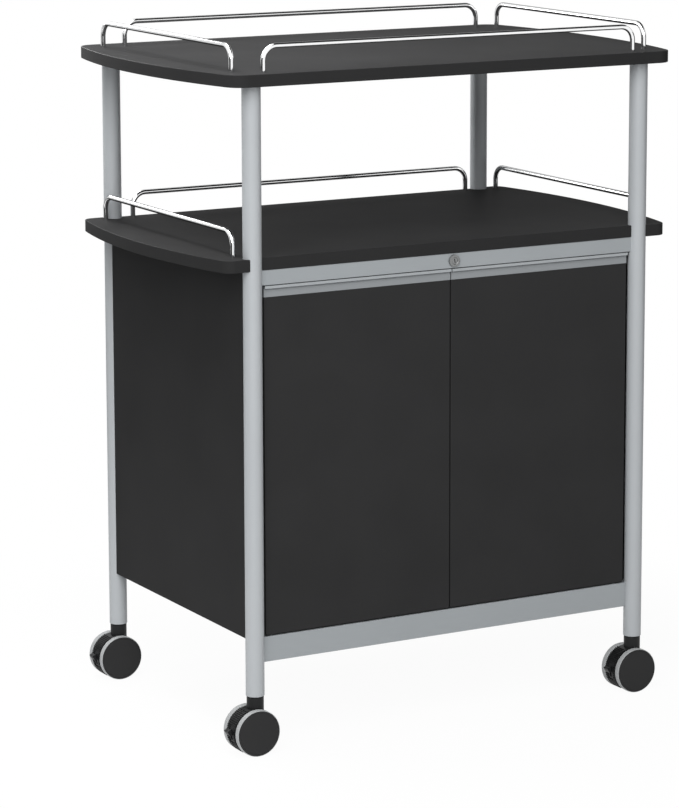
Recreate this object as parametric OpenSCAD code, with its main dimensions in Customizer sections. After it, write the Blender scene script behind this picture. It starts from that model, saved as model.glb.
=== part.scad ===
// Beverage cart: two bowed shelves with wire guard rails on four round posts, and a
// locking cabinet with double doors, on four twin-wheel casters.
// Millimetres, +Z up, the doors face -Y, and the origin is on the floor under the centre.

/* [Overall] */
// Width across the bowed ends of the shelves
cart_w = 850.9; // [830:0.1:900]
// Depth of the top shelf
cart_d = 552.45; // [540:0.05:600]
// Height from the floor to the top of the upper guard rails
cart_h = 1092.2; // [1060:0.1:1150]

/* [Shelves] */
// Thickness of the top and middle shelf boards
board_t = 19; // [16:0.5:25]
// How far the ends of the boards bow out at mid depth
bow = 36.1; // [18:0.1:38]
// Radius of the top shelf's corners
top_corner_r = 30; // [20:1:45]
// Radius of the middle shelf's corners
middle_corner_r = 18; // [12:1:30]
// Height of the middle shelf's top face
middle_top = 769; // [720:0.5:800]
// How far the posts stand out of the middle shelf's corner ears
post_proud = 3; // [1:0.5:6]
// From the ears back to the middle shelf's edges between the posts
edge_set_back = 6.4; // [2:0.1:9]

/* [Posts] */
// Outside diameter of the posts
post_d = 29; // [26:0.5:32]
// Wall of the posts
post_wall = 1.5; // [1:0.1:2.5]
// From the widest point of the shelves in to the post centres
side_overhang = 77.8; // [65:0.05:90]
// From the top shelf's long edges in to the post centres
edge_overhang = 32.2; // [30:0.1:45]
// Height of the posts' lower ends
post_foot = 90.5; // [90:0.5:110]

/* [Guard rails] */
// Diameter of the wire
guard_rod = 8; // [6:0.5:9]
// Height of a guard rail above its shelf
guard_h = 43.2; // [38:0.1:60]
// Bend radius of the wire on its centre line
guard_bend = 22; // [14:1:30]
// From the widest point of a shelf in to its side guard
side_guard_inset = 55.3; // [45:0.1:60]
// From the top shelf's long edges in to the side guards' legs
side_guard_margin = 52.525; // [52:0.025:90]
// From the widest point of the top shelf in to its long guards' legs
top_guard_margin = 94.9; // [91:0.05:120]
// From the widest point of the middle shelf in to its back guard's legs
middle_guard_margin = 109.55; // [104:0.05:135]
// From the top shelf's front edge in to its front guard
front_guard_inset = 25.6; // [22:0.1:36]
// From the top shelf's back edge in to its back guard
back_guard_inset = 48.7; // [34:0.1:56]
// From the middle shelf's back edge in to its back guard
middle_guard_inset = 13.6; // [9:0.1:24]

/* [Cabinet] */
// Thickness of the side and back panels
panel_t = 16; // [12:0.5:18]
// Height of the panels' lower edges
panel_foot = 177.3; // [176:0.1:190]
// Thickness of the cabinet floor
floor_t = 12; // [9:0.5:16]
// Thickness of the shelf inside
inner_t = 16; // [12:0.5:19]
// Height of the inner shelf's top face
inner_top = 450; // [400:1:500]
// From the doors' backs to the inner shelf's front edge
inner_set_back = 20; // [8:1:60]
// From the pin holes' front column to the back one
pin_spacing = 300; // [240:5:340]
// Steps between the pin holes
pin_pitch = 32; // [25:1:40]
// Pin holes in each column
pin_rows = 5; // [3:2:7]
// Diameter of the shelf pins
pin_d = 5; // [4:0.5:6]
// How far a shelf pin goes into its panel
pin_depth = 9; // [6:0.5:10]

/* [Front rails] */
// How far the top rail stands out in front of the post axes
top_rail_proud = 4; // [1:0.5:6]
// Height of the rail over the doors
top_rail_h = 23.5; // [22:0.5:30]
// Depth of the rail over the doors
top_rail_t = 22; // [18:0.5:26]
// Height of the rail under the doors
bottom_rail_h = 39.6; // [25:0.1:50]
// Depth of the rail under the doors
bottom_rail_t = 20; // [16:0.5:25]
// Height of the lower rail's top face
bottom_rail_top = 180.2; // [180:0.1:200]
// How far the bottom rail stands out in front of the post axes
bottom_rail_proud = 1; // [0.5:0.5:4]
// Wall of both rails
rail_wall = 2; // [1.5:0.1:2.5]

/* [Doors] */
// Thickness of the doors
door_t = 18; // [16:0.5:19]
// Gap between a door's outer edge and its post
door_side_gap = 5; // [4:0.5:7]
// Gap between the two doors
door_seam = 2; // [1:0.5:4]
// Gap between the doors and the rail over them
door_top_gap = 1.2; // [1:0.1:3]
// Gap between the doors and the rail under them
door_foot_gap = 2; // [1:0.5:4]
// Height of the pull bar along a door's top
pull_h = 17.8; // [12:0.1:20]
// Height of the lip along the pull bar's top
lip_h = 4.5; // [3:0.5:6]
// How far the lip stands in front of the door
lip_proud = 4; // [2:0.5:4.5]
// From a door's outer edge in to its pivot
pivot_inset = 13; // [13:0.5:16]
// Diameter of the pivot pins
pivot_d = 6; // [5:0.5:8]
// How far a pivot pin reaches into its door
pivot_grip = 12; // [8:0.5:12]

/* [Lock] */
// From the doors' seam to the lock's centre
lock_offset = 3; // [0:0.5:8]
// Diameter of the lock's front collar
lock_head_d = 19; // [18:0.5:20]
// How far the collar stands in front of the rail
lock_head_t = 4; // [1:0.5:5]
// Diameter of the lock's body
lock_body_d = 16; // [14:0.5:17]
// Diameter of the turning plug
plug_d = 11; // [9:0.5:12]
// Length of the cam from the plug's centre
cam_l = 35; // [32:1:45]
// Width of the cam
cam_w = 20; // [14:0.5:22]
// Thickness of the cam
cam_t = 2.5; // [2:0.1:3]
// Diameter of the plug's tail, which carries the cam
cam_tail_d = 6; // [5:0.5:8]

/* [Casters] */
// Diameter of the wheels
wheel_d = 72.4; // [68:0.1:75]
// Width across both wheels of a caster
caster_w = 52.2; // [46:0.1:54]
// Width of a tread
tread_w = 10; // [8:0.5:11]
// Depth of a tyre over its hub
tyre_t = 4; // [3:0.5:5]
// From the post's centre back to the axle
trail = 6.4; // [4:0.1:10]
// Diameter of the swivel neck under the post
neck_d = 26.6; // [22:0.1:28]
// Thickness of the hood over the wheels
hood_t = 5.5; // [4:0.5:6]
// Diameter of the swivel stem
stem_d = 11; // [9:0.5:12]
// How far the stem reaches up into the post
stem_l = 40; // [30:1:60]
// Diameter of the axle
axle_d = 8; // [6:0.5:9]
// From the axle to the tip of the brake lever
lever_reach = 44.5; // [42:0.5:50]
// Width of the brake lever's tread
pedal_w = 12; // [8:0.5:14]

/* [Fixings] */
// Diameter of the guard rails' screws
screw_d = 4; // [3:0.5:5]
// Diameter of the dowels between panels and posts
peg_d = 6; // [5:0.5:8]
// Diameter of the dowels between panels and the middle shelf
dowel_d = 8; // [6:0.5:10]
// Diameter of the studs between posts and the top shelf
stud_d = 8; // [6:0.5:10]

/* [Hidden] */
$fn = 64;

// Clearances between pieces
fixed_fit = 0.02;  // radial, a pin that stays put in its hole
turning_fit = 0.05;  // radial, a pin that turns in its hole
cope_fit = 0.1;  // radial, a panel or rail end round its post
notch_fit = 0.3;  // radial, a board round its post
side_fit = 0.3;  // between moving faces
over = 1;  // how far a cut runs past the face that it opens

// Heights and places that follow from the sizes above
top_face = cart_h - guard_h;
top_under = top_face - board_t;
middle_under = middle_top - board_t;
post_r = post_d / 2;
post_bore_r = post_r - post_wall;
post_x = cart_w / 2 - side_overhang;
post_y = cart_d / 2 - edge_overhang;
middle_half_d = post_y + post_r - post_proud;
middle_edge_y = middle_half_d - edge_set_back;
bow_r = (pow(cart_d / 2, 2) + bow * bow) / (2 * bow);
bow_centre = cart_w / 2 - bow_r;
side_guard_x = cart_w / 2 - side_guard_inset;
side_guard_span = cart_d - 2 * side_guard_margin;
top_guard_span = cart_w - 2 * top_guard_margin;
middle_guard_span = cart_w - 2 * middle_guard_margin;
top_front_guard_y = -cart_d / 2 + front_guard_inset;
top_back_guard_y = cart_d / 2 - back_guard_inset;
middle_back_guard_y = middle_edge_y - middle_guard_inset;
panel_inner_x = post_x - panel_t / 2;
back_inner_y = post_y - panel_t / 2;
top_rail_face_y = -post_y - top_rail_proud;
bottom_rail_face_y = -post_y - bottom_rail_proud;
top_rail_foot = middle_under - top_rail_h;
pull_top = top_rail_foot - door_top_gap;
door_top = pull_top - pull_h;
door_foot = bottom_rail_top + door_foot_gap;
door_face_y = -post_y;
door_back_y = door_face_y + door_t;
door_edge_x = post_x - post_r - door_side_gap;
pivot_x = door_edge_x - pivot_inset;
pivot_y = door_face_y + door_t / 2;
lock_z = middle_under - top_rail_h / 2;
inner_under = inner_top - inner_t;
pin_z = inner_under - pin_d / 2;
corners = [[-1, -1], [1, -1], [-1, 1], [1, 1]];
corner_names = ["front_left", "front_right", "back_left", "back_right"];

// Places of the fixings
peg_l = 18;
peg_heights = [230, 450, 670];
peg_step = 20;
dowel_l = 24;
side_dowel_y = 150;
back_dowel_x = 200;
stud_l = 12;
plug_l = 20;
stem_room = 5;
screw_l = 26;
screw_head_d = 8;
screw_head_t = 2.6;
screw_sink = 3;

// Caster sizes, from the axle's centre
wheel_r = wheel_d / 2;
axle_x = -trail;
web_half = 4.7;
hub_gap = 5;
rim_drop = 1;
hood_r = wheel_r - rim_drop;
hood_bore_r = hood_r - hood_t;
hub_inner_r = hood_bore_r - 1;
tread_out = caster_w / 2 - 1.4;
tread_in = tread_out - tread_w;
hood_half = tread_in - 2 * side_fit;
cap_r = wheel_r - rim_drop;
cap_dome = 0.6;
hood_start = 5;
hood_sweep = 230;
lever_pivot_x = -16;
lever_half = 2.2;
lever_slot_half = 2.5;
lever_pin_d = 4;
slot_drop = 11;
slot_reach = 5.5;
slot_rise = 5;
stem_seat = 10;
neck_top = post_foot - side_fit;
neck_join = wheel_d + 1.3;
neck_foot = wheel_r + hood_bore_r * 0.7;

// A cylinder along Y from y0 to y1, centred on x and z
module rod_y(r, y0, y1, x = 0, z = 0) {
    translate([x, y0, z]) rotate([-90, 0, 0]) cylinder(r = r, h = y1 - y0);
}

// A cylinder along X from x0 to x1, centred on y and z
module rod_x(r, x0, x1, y = 0, z = 0) {
    translate([x0, y, z]) rotate([0, 90, 0]) cylinder(r = r, h = x1 - x0);
}

// A block between two corners
module block(low, high) {
    translate(low) cube(high - low);
}

// Outline of a shelf: straight long edges, bowed ends and round corners
module shelf_outline(half_d, corner_r) {
    corner_y = half_d - corner_r;
    corner_x = bow_centre + sqrt(pow(bow_r - corner_r, 2) - corner_y * corner_y);
    tangent_y = corner_y * bow_r / (bow_r - corner_r);
    square([2 * corner_x, 2 * half_d], center = true);
    intersection() {
        square([cart_w + 2 * over, 2 * tangent_y], center = true);
        translate([bow_centre, 0]) circle(r = bow_r, $fn = 720);
        translate([-bow_centre, 0]) circle(r = bow_r, $fn = 720);
    }
    for (c = corners) {
        translate([c[0] * corner_x, c[1] * corner_y]) circle(r = corner_r);
    }
}

// Places of the guard legs on each shelf
function pair_x(span, y) = [[-span / 2, y], [span / 2, y]];
function side_pairs() = [for (sx = [-1, 1], sy = [-1, 1])
    [sx * side_guard_x, sy * side_guard_span / 2]];
top_legs = concat(pair_x(top_guard_span, top_front_guard_y),
    pair_x(top_guard_span, top_back_guard_y), side_pairs());
middle_legs = concat(pair_x(middle_guard_span, middle_back_guard_y), side_pairs());

// Screw holes through a shelf, with sinks for the heads underneath
module guard_holes(legs, under) {
    for (p = legs) {
        translate([p[0], p[1], under - over])
            cylinder(r = screw_d / 2 + turning_fit, h = board_t + 2 * over);
        translate([p[0], p[1], under - over])
            cylinder(r = screw_head_d / 2 + turning_fit, h = screw_sink + over);
    }
}

module top_shelf() {
    color("#3c3c3e") difference() {
        translate([0, 0, top_under]) linear_extrude(board_t) shelf_outline(cart_d / 2, top_corner_r);
        guard_holes(top_legs, top_under);
        for (c = corners) {
            translate([c[0] * post_x, c[1] * post_y, top_under - over])
                cylinder(r = stud_d / 2 + fixed_fit, h = stud_l + fixed_fit + over);
        }
    }
}

// The shelf's ears reach round the posts, and its long edges sit back between them
module middle_outline() {
    difference() {
        shelf_outline(middle_half_d, middle_corner_r);
        for (y = [middle_edge_y, -middle_edge_y - cart_d]) {
            translate([-post_x, y]) square([2 * post_x, cart_d]);
        }
    }
}

module middle_shelf() {
    color("#3c3c3e") difference() {
        translate([0, 0, middle_under]) linear_extrude(board_t) middle_outline();
        post_cutters(notch_fit);
        guard_holes(middle_legs, middle_under);
        shelf_dowels(fixed_fit);
    }
}

// The four posts as plain cylinders, for cutting what fits round them
module post_cutters(fit) {
    for (c = corners) {
        translate([c[0] * post_x, c[1] * post_y, 0])
            cylinder(r = post_r + fit, h = top_face);
    }
}

module floor_panel() {
    color("#2f2f31") difference() {
        block([-panel_inner_x, bottom_rail_face_y + bottom_rail_t, bottom_rail_top - floor_t],
            [panel_inner_x, back_inner_y, bottom_rail_top]);
        post_cutters(notch_fit);
    }
}

module inner_shelf() {
    inner_front_y = door_back_y + inner_set_back;
    color("#2f2f31") difference() {
        block([-panel_inner_x + side_fit, inner_front_y, inner_under],
            [panel_inner_x - side_fit, back_inner_y - side_fit, inner_top]);
        post_cutters(notch_fit);
    }
}

// Shelf pins at their places, or the pin holes of every height
module shelf_pins_at(fit, reach, rows) {
    for (sx = [-1, 1], sy = [-1, 1], k = rows) {
        x0 = sx > 0 ? panel_inner_x - reach : -panel_inner_x - pin_depth - fit;
        x1 = sx > 0 ? panel_inner_x + pin_depth + fit : -panel_inner_x + reach;
        rod_x(pin_d / 2 + fit, x0, x1, sy * pin_spacing / 2, pin_z + k * pin_pitch);
    }
}

module shelf_pins() {
    color("silver") shelf_pins_at(0, pin_depth, [0]);
}

// Pegs from the posts into the ends of the side and back panels
module panel_pegs(fit) {
    peg_in = post_wall + 2;
    for (c = corners, h = peg_heights) {
        near_y = post_y - post_r - peg_l + peg_in - fit;
        far_y = post_y - post_r + peg_in + fit;
        y0 = c[1] > 0 ? near_y : -far_y;
        y1 = c[1] > 0 ? far_y : -near_y;
        rod_y(peg_d / 2 + fit, y0, y1, c[0] * post_x, h);
    }
    for (sx = [-1, 1], h = peg_heights) {
        near_x = post_x - post_r - peg_l + peg_in - fit;
        far_x = post_x - post_r + peg_in + fit;
        x0 = sx > 0 ? near_x : -far_x;
        x1 = sx > 0 ? far_x : -near_x;
        rod_x(peg_d / 2 + fit, x0, x1, post_y, h + peg_step);
    }
}

// Dowels from the panels' top edges up into the middle shelf
module shelf_dowels(fit) {
    for (sx = [-1, 1], sy = [-1, 1]) {
        translate([sx * post_x, sy * side_dowel_y, middle_under - dowel_l / 2 - fit])
            cylinder(r = dowel_d / 2 + fit, h = dowel_l + 2 * fit);
    }
    for (sx = [-1, 1]) {
        translate([sx * back_dowel_x, post_y, middle_under - dowel_l / 2 - fit])
            cylinder(r = dowel_d / 2 + fit, h = dowel_l + 2 * fit);
    }
}

module dowels() {
    color("silver") {
        panel_pegs(0);
        shelf_dowels(0);
    }
}

module side_panel(sx) {
    pin_steps = [-(pin_rows - 1) / 2:(pin_rows - 1) / 2];
    color("#2b2b2d") difference() {
        block([sx * post_x - panel_t / 2, -post_y, panel_foot],
            [sx * post_x + panel_t / 2, post_y, middle_under]);
        post_cutters(cope_fit);
        panel_pegs(fixed_fit);
        shelf_dowels(fixed_fit);
        shelf_pins_at(fixed_fit, over, pin_steps);
    }
}

module back_panel() {
    color("#2b2b2d") difference() {
        block([-post_x, back_inner_y, panel_foot],
            [post_x, back_inner_y + panel_t, middle_under]);
        post_cutters(cope_fit);
        panel_pegs(fixed_fit);
        shelf_dowels(fixed_fit);
    }
}

module post(c) {
    color("#b4babe") difference() {
        translate([c[0] * post_x, c[1] * post_y, post_foot])
            cylinder(r = post_r, h = top_under - post_foot);
        translate([c[0] * post_x, c[1] * post_y, post_foot - over])
            cylinder(r = post_bore_r, h = top_under - post_foot + 2 * over);
        panel_pegs(fixed_fit);
    }
}

// Plugs with studs in the posts' tops, and sockets for the casters in their feet
module post_inserts() {
    insert_r = post_bore_r - fixed_fit;
    color("#202022") for (c = corners) {
        translate([c[0] * post_x, c[1] * post_y, 0]) {
            translate([0, 0, top_under - plug_l]) cylinder(r = insert_r, h = plug_l);
            translate([0, 0, top_under - plug_l / 2])
                cylinder(r = stud_d / 2, h = plug_l / 2 + stud_l);
            difference() {
                translate([0, 0, post_foot]) cylinder(r = insert_r, h = stem_l + stem_room);
                translate([0, 0, post_foot - over])
                    cylinder(r = stem_d / 2 + turning_fit, h = stem_l + stem_room + 2 * over);
            }
        }
    }
}

// A hollow rail between the front posts and side panels, its ends shaped to the posts
module front_rail(face_y, low_z, h, t) {
    difference() {
        block([-panel_inner_x, face_y, low_z], [panel_inner_x, face_y + t, low_z + h]);
        block([-panel_inner_x - over, face_y + rail_wall, low_z + rail_wall],
            [panel_inner_x + over, face_y + t - rail_wall, low_z + h - rail_wall]);
        post_cutters(cope_fit);
        door_pins(fixed_fit);
    }
}

module front_top_rail() {
    color("#a3a7aa") difference() {
        front_rail(top_rail_face_y, top_rail_foot, top_rail_h, top_rail_t);
        rod_y(lock_body_d / 2 + fixed_fit, top_rail_face_y - over,
            top_rail_face_y + top_rail_t + over, lock_offset, lock_z);
    }
}

module front_bottom_rail() {
    color("#a9adb0") front_rail(bottom_rail_face_y, bottom_rail_top - bottom_rail_h,
        bottom_rail_h, bottom_rail_t);
}

// Pivot pins over and under each door, or the holes that hold them
module door_pins(fit) {
    end_set = 0.3;
    for (sx = [-1, 1]) {
        translate([sx * pivot_x, pivot_y, bottom_rail_top - bottom_rail_h + end_set])
            cylinder(r = pivot_d / 2 + fit,
                h = bottom_rail_h - end_set + door_foot_gap + pivot_grip);
        translate([sx * pivot_x, pivot_y, pull_top - pivot_grip])
            cylinder(r = pivot_d / 2 + fit,
                h = pivot_grip + door_top_gap + top_rail_h - end_set);
    }
}

module door_pivot_pins() {
    color("silver") door_pins(0);
}

// Both pivot holes of a door, with room above and below the pins' ends
module door_bores(sx) {
    bore_r = pivot_d / 2 + turning_fit;
    room = 0.5;
    translate([sx * pivot_x, pivot_y, door_foot - over])
        cylinder(r = bore_r, h = pivot_grip + room + over);
    translate([sx * pivot_x, pivot_y, pull_top - pivot_grip - room])
        cylinder(r = bore_r, h = pivot_grip + room + over);
}

module door_panel(sx) {
    x_in = door_seam / 2;
    color("#303032") difference() {
        block([sx > 0 ? x_in : -door_edge_x, door_face_y, door_foot],
            [sx > 0 ? door_edge_x : -x_in, door_back_y, door_top]);
        door_bores(sx);
    }
}

// Pull bar along a door's top, with a lip that the fingers catch
module door_pull(sx) {
    x_in = door_seam / 2;
    color("#a0a3a6") difference() {
        union() {
            block([sx > 0 ? x_in : -door_edge_x, door_face_y, door_top],
                [sx > 0 ? door_edge_x : -x_in, door_back_y, pull_top]);
            block([sx > 0 ? x_in : -door_edge_x, door_face_y - lip_proud, pull_top - lip_h],
                [sx > 0 ? door_edge_x : -x_in, door_face_y + over, pull_top]);
        }
        door_bores(sx);
    }
}

lock_face_y = top_rail_face_y - lock_head_t;
lock_back_y = top_rail_face_y + top_rail_t + 2.5;
cam_y = lock_back_y + side_fit;

module lock_barrel() {
    color("#8f9294") difference() {
        union() {
            rod_y(lock_head_d / 2, lock_face_y, top_rail_face_y, lock_offset, lock_z);
            rod_y(lock_body_d / 2, top_rail_face_y - lock_head_t / 2, lock_back_y,
                lock_offset, lock_z);
        }
        rod_y(plug_d / 2 + turning_fit, lock_face_y - over, lock_back_y + over,
            lock_offset, lock_z);
    }
}

// The plug turns in the barrel and carries the cam on its tail
module lock_plug() {
    plug_set = 0.5;
    keyway = [1.4, 3, 6];
    color("#9a9d9f") difference() {
        union() {
            rod_y(plug_d / 2, lock_face_y + plug_set, lock_back_y, lock_offset, lock_z);
            rod_y(cam_tail_d / 2, lock_back_y - over, cam_y + cam_t + 1, lock_offset, lock_z);
        }
        translate([lock_offset - keyway[0] / 2, lock_face_y, lock_z - keyway[2] / 2])
            cube(keyway);
    }
}

// The cam lies level when the doors are free, and hangs behind both when locked
module lock_cam() {
    color("#c0c3c5") difference() {
        union() {
            rod_y(cam_w / 2, cam_y, cam_y + cam_t, lock_offset, lock_z);
            block([lock_offset, cam_y, lock_z - cam_w / 2],
                [lock_offset + cam_l, cam_y + cam_t, lock_z + cam_w / 2]);
        }
        rod_y(cam_tail_d / 2 + fixed_fit, cam_y - over, cam_y + cam_t + over,
            lock_offset, lock_z);
    }
}

// A wire guard along X, its two legs standing at z = 0
module guard(span) {
    rod_r = guard_rod / 2;
    bar_z = guard_h - rod_r;
    leg_h = bar_z - guard_bend;
    hole_l = screw_l - board_t + screw_sink;
    color("#d8dadb") difference() {
        union() {
            for (s = [-1, 1]) {
                translate([s * span / 2, 0, 0]) cylinder(r = rod_r, h = leg_h);
                translate([s * (span / 2 - guard_bend), 0, leg_h])
                    mirror([s < 0 ? 1 : 0, 0, 0]) rotate([90, 0, 0])
                        rotate_extrude(angle = 90) translate([guard_bend, 0]) circle(r = rod_r);
            }
            rod_x(rod_r, -span / 2 + guard_bend, span / 2 - guard_bend, 0, bar_z);
        }
        for (s = [-1, 1]) {
            translate([s * span / 2, 0, -over])
                cylinder(r = screw_d / 2 + fixed_fit, h = hole_l + over);
        }
    }
}

module top_front_guard() {
    translate([0, top_front_guard_y, top_face]) guard(top_guard_span);
}

module top_back_guard() {
    translate([0, top_back_guard_y, top_face]) guard(top_guard_span);
}

module middle_back_guard() {
    translate([0, middle_back_guard_y, middle_top]) guard(middle_guard_span);
}

module side_guard(sx, z) {
    translate([sx * side_guard_x, 0, z]) rotate([0, 0, 90]) guard(side_guard_span);
}

// Screws up through the shelves into the guards' legs
module guard_screws() {
    head_gap = screw_sink - screw_head_t;
    color("silver") for (set = [[top_legs, top_under], [middle_legs, middle_under]]) {
        for (p = set[0]) {
            translate([p[0], p[1], set[1] + head_gap]) {
                cylinder(r = screw_head_d / 2, h = screw_head_t);
                cylinder(r = screw_d / 2, h = screw_l);
            }
        }
    }
}

// Puts a caster's pieces under the post at one corner
module at_corner(c) {
    translate([c[0] * post_x, c[1] * post_y, 0]) children();
}

// Outline of the hood seen along the axle: a disc from the front over the top to the
// back, and a boss round the axle
module hood_outline() {
    intersection() {
        circle(r = hood_r);
        polygon(concat([[0, 0]], [for (k = [0:4])
            2 * hood_r * [cos(hood_start + k * hood_sweep / 4),
                sin(hood_start + k * hood_sweep / 4)]]));
    }
    circle(r = axle_d);
}

// A web between the wheels, a rim over them and the neck that turns under the post
module caster_hood() {
    color("#26262a") difference() {
        union() {
            translate([axle_x, hood_half, wheel_r]) rotate([90, 0, 0])
                linear_extrude(2 * hood_half) hood_outline();
            intersection() {
                translate([0, 0, neck_foot]) cylinder(r = neck_d / 2, h = post_foot - neck_foot);
                block([-neck_d, -hood_half, neck_foot - over], [neck_d, hood_half, neck_join]);
            }
            translate([0, 0, neck_join]) cylinder(r = neck_d / 2, h = neck_top - neck_join);
        }
        rod_y(hood_bore_r, web_half, neck_d, axle_x, wheel_r);
        rod_y(hood_bore_r, -neck_d, -web_half, axle_x, wheel_r);
        rod_y(axle_d / 2 + fixed_fit, -web_half - over, web_half + over, axle_x, wheel_r);
        rod_y(lever_pin_d / 2 + fixed_fit, -web_half - over, web_half + over,
            axle_x + lever_pivot_x, wheel_r);
        block([axle_x - hood_r - over, -lever_slot_half, wheel_r - slot_drop],
            [axle_x + lever_pivot_x + slot_reach, lever_slot_half, wheel_r + slot_rise]);
        translate([0, 0, neck_top - stem_seat])
            cylinder(r = stem_d / 2 + fixed_fit, h = stem_seat + over);
    }
}

// The steel parts of a caster: its axle, its stem and the brake lever's pin
module caster_pins() {
    axle_half = tread_out - 2;
    color("silver") {
        rod_y(axle_d / 2, -axle_half, axle_half, axle_x, wheel_r);
        rod_y(lever_pin_d / 2, -web_half, web_half, axle_x + lever_pivot_x, wheel_r);
        translate([0, 0, neck_top - stem_seat])
            cylinder(r = stem_d / 2, h = stem_seat + side_fit + stem_l);
    }
}

// One wheel's hub, on the +Y side: an inner drum, the tyre's seat and a cap
module wheel_hub() {
    cap_y = caster_w / 2 - cap_dome;
    hole_end = tread_out - 2 + side_fit;
    difference() {
        union() {
            rod_y(hub_inner_r, hub_gap, tread_in, axle_x, wheel_r);
            rod_y(wheel_r - tyre_t, tread_in - 0.2, tread_out, axle_x, wheel_r);
            rod_y(cap_r, tread_out, cap_y, axle_x, wheel_r);
            translate([axle_x, cap_y, wheel_r]) rotate([-90, 0, 0])
                cylinder(r1 = cap_r, r2 = cap_r - 2 * cap_dome, h = cap_dome);
        }
        rod_y(axle_d / 2 + turning_fit, hub_gap - over, hole_end, axle_x, wheel_r);
    }
}

module wheel_tyre() {
    difference() {
        rod_y(wheel_r, tread_in, tread_out, axle_x, wheel_r);
        rod_y(wheel_r - tyre_t + fixed_fit, tread_in - over, tread_out + over, axle_x, wheel_r);
    }
}

module hub(sy) {
    color("#343437") mirror([0, sy < 0 ? 1 : 0, 0]) wheel_hub();
}

module tyre(sy) {
    color("#bfc1c3") mirror([0, sy < 0 ? 1 : 0, 0]) wheel_tyre();
}

// The lever pivots in the hood's web, and its tread sticks out behind the wheels
module brake_lever() {
    pivot_boss_r = 4.5;
    arm_half = 3;
    pedal_x = -hood_r - 1.8;
    pedal_top = 7;
    pedal_lean = 1;
    pedal_t = 3;
    tip_z = 4;
    tip_half = 0.6;
    color("#1f1f21") translate([axle_x, 0, wheel_r]) difference() {
        union() {
            rod_y(pivot_boss_r, -lever_half, lever_half, lever_pivot_x, 0);
            block([pedal_x - over, -lever_half, -arm_half],
                [lever_pivot_x, lever_half, arm_half]);
            translate([0, pedal_w / 2, 0]) rotate([90, 0, 0]) linear_extrude(pedal_w)
                polygon([[pedal_x, -arm_half], [pedal_x - pedal_lean, pedal_top],
                    [pedal_x - pedal_t, pedal_top], [-lever_reach, tip_z + tip_half],
                    [-lever_reach, tip_z - tip_half], [pedal_x - pedal_t, -arm_half]]);
        }
        rod_y(lever_pin_d / 2 + turning_fit, -lever_half - over, lever_half + over,
            lever_pivot_x, 0);
    }
}

top_shelf();
middle_shelf();
floor_panel();
inner_shelf();
side_panel(-1);  // left_side_panel
side_panel(1);  // right_side_panel
back_panel();
front_top_rail();
front_bottom_rail();
top_front_guard();
top_back_guard();
side_guard(-1, top_face);  // top_left_guard
side_guard(1, top_face);  // top_right_guard
middle_back_guard();
side_guard(-1, middle_top);  // middle_left_guard
side_guard(1, middle_top);  // middle_right_guard
guard_screws();
post_inserts();
dowels();
shelf_pins();
door_pivot_pins();
lock_barrel();
lock_plug();
lock_cam();
door_panel(-1);  // left_door_panel
door_pull(-1);  // left_door_pull
door_panel(1);  // right_door_panel
door_pull(1);  // right_door_pull
for (i = [0:3]) {
    c = corners[i];
    at = corner_names[i];
    post(c);
    at_corner(c) caster_hood();
    at_corner(c) caster_pins();
    at_corner(c) brake_lever();
    at_corner(c) hub(c[1]);
    at_corner(c) tyre(c[1]);
    at_corner(c) hub(-c[1]);
    at_corner(c) tyre(-c[1]);
}
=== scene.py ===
import math

import bmesh
import bpy
from mathutils import Matrix, Vector


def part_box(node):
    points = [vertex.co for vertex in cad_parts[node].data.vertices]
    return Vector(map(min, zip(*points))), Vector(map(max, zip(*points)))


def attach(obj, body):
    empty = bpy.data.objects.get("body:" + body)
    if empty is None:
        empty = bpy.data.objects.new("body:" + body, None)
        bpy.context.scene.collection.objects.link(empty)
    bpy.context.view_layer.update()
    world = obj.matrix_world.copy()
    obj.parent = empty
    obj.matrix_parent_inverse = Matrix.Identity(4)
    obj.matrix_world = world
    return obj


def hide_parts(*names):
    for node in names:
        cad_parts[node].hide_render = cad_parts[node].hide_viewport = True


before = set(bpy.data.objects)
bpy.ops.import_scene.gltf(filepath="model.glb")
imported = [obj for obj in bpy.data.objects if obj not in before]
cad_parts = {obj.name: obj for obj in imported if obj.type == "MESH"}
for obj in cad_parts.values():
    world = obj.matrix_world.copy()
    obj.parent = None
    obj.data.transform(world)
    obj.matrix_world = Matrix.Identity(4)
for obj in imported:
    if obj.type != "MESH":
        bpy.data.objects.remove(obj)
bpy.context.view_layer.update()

MM = 0.001
X, Y, Z = 0, 1, 2


def span(node, axis):
    """Where a CAD node begins and ends along an axis, in millimetres."""
    low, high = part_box(node)
    return low[axis] / MM, high[axis] / MM


def middle(node, axis):
    """The middle of a CAD node along an axis, in millimetres."""
    low, high = span(node, axis)
    return (low + high) / 2


# Sizes in millimetres, in the CAD model's frame. What its boxes show is read from them.

# Boards
CART_W, CART_D = 850.9, 552.45
TOP_UNDER, TOP_FACE = span("top_shelf", Z)
MID_UNDER, MID_FACE = span("middle_shelf", Z)
MID_HALF_D = span("middle_shelf", Y)[1]
EDGE_SET_BACK = 6.4
BOW = 36.1
BOW_R = ((CART_D / 2) ** 2 + BOW ** 2) / (2 * BOW)
BOW_CENTRE = CART_W / 2 - BOW_R
TOP_CORNER_R, MID_CORNER_R = 30.0, 18.0
TOP_RIM_R, MID_RIM_R = 1.3, 1.0
RIM_STEPS, CORNER_STEPS, BOW_STEPS = 4, 18, 64

# Posts
POST_X, POST_Y = middle("front_right_post", X), middle("back_right_post", Y)
POST_R, POST_BORE_R = 14.5, 13.0
POST_FOOT = span("front_left_post", Z)[0]
POST_RINGS = (400, 760)                  # Heights of the rings of points between its ends
NOTCH_R = POST_R + 0.3

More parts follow.
